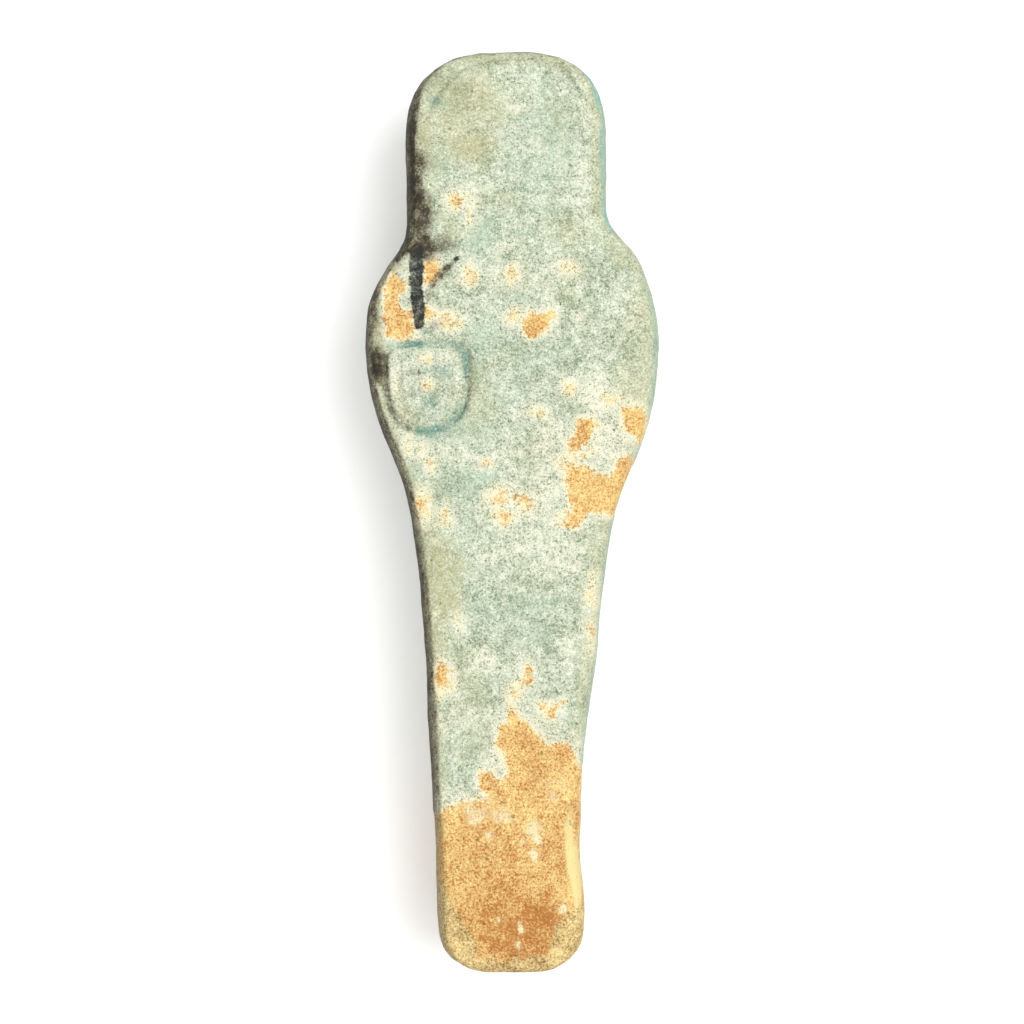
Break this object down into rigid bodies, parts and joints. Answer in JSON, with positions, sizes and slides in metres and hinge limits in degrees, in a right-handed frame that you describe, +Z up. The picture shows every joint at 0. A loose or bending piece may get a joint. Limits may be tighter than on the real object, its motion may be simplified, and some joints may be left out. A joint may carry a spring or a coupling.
{
  "type": "ushabti figurine",
  "caption": "Small moulded faience funerary figurine, mummiform with a long wig, crossed arms and a flat back with a seed bag in low relief.",
  "frame": {"origin": "under the middle of the figure's length and width, on the surface it lies on", "axes": "the figure lies on its front: +Y towards the crown of the head, +Z up out of its flat back, and -X towards its own left side, where the bag is"},
  "size_m": [0.032, 0.1, 0.0185],
  "materials": {
    "faience": "worn pale blue-green glaze, matt to satin, with bare buff patches"
  },
  "bodies": {
    "root": {"figurine": "faience"}
  },
  "joints": []
}
